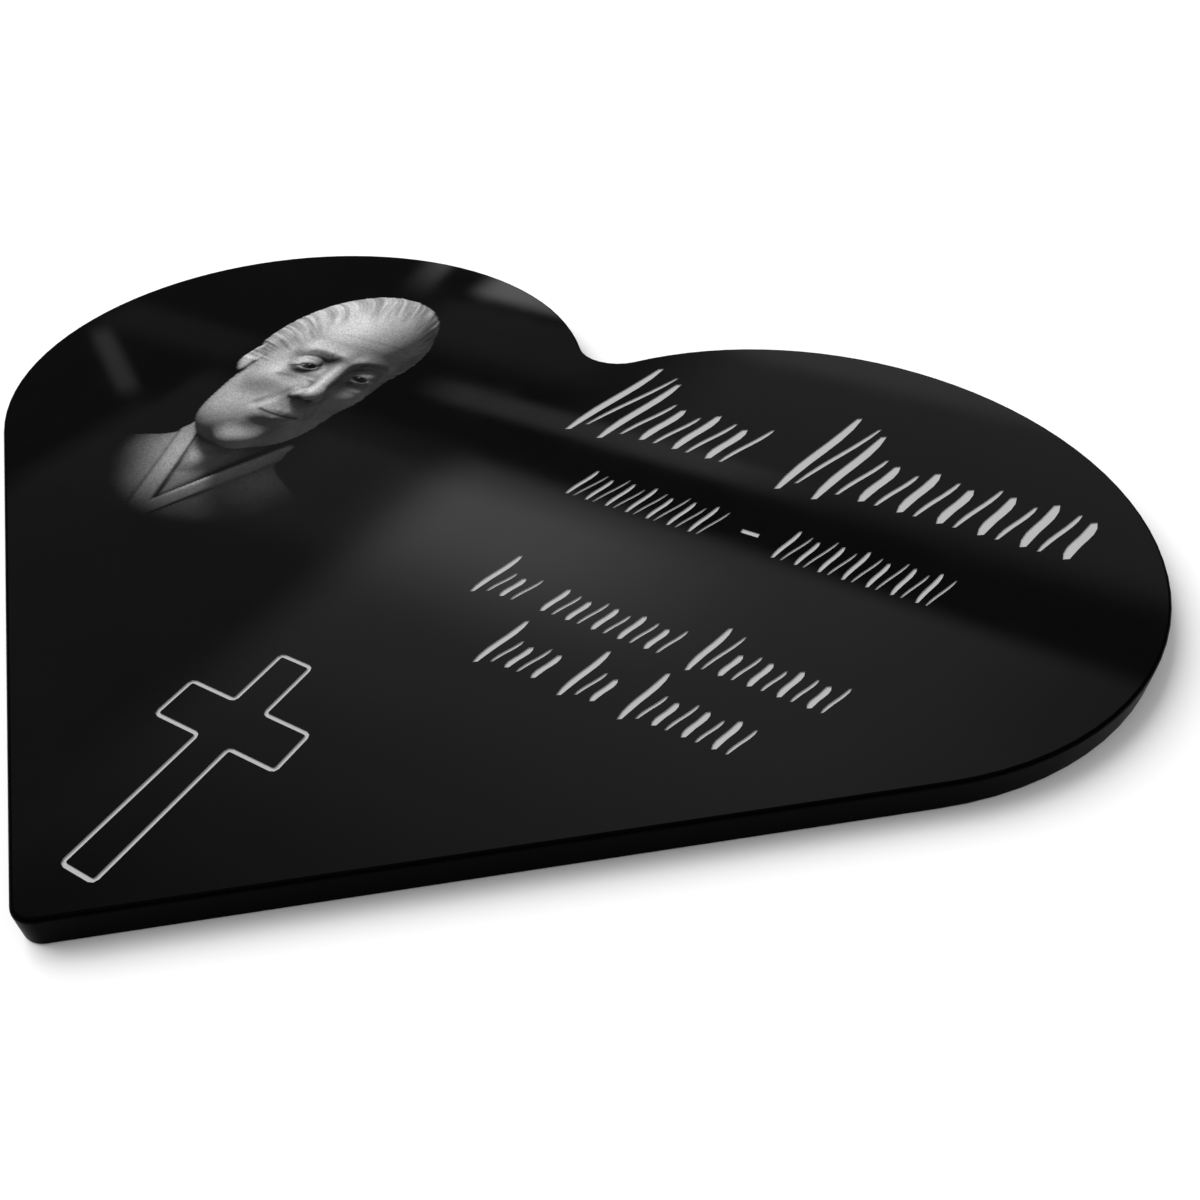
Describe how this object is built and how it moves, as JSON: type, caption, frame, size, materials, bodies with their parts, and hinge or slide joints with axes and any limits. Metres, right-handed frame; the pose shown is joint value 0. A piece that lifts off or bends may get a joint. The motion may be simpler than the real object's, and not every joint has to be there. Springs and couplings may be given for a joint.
{
  "type": "acrylic memorial plaque",
  "caption": "Heart-shaped memorial plaque of black acrylic sheet with an engraved outline cross and rows of shallow engraved strokes, lying flat on its back.",
  "frame": {"origin": "on the flat back face, below the middle of the outline's box", "axes": "+X across the heart's widest part, +Y from the tip to the lobes, +Z out of the polished front face"},
  "size_m": [0.22, 0.1724, 0.005],
  "materials": {
    "black_acrylic": "polished black cast acrylic, engraved matt grey"
  },
  "bodies": {
    "root": {"plaque": "black_acrylic"}
  },
  "joints": []
}
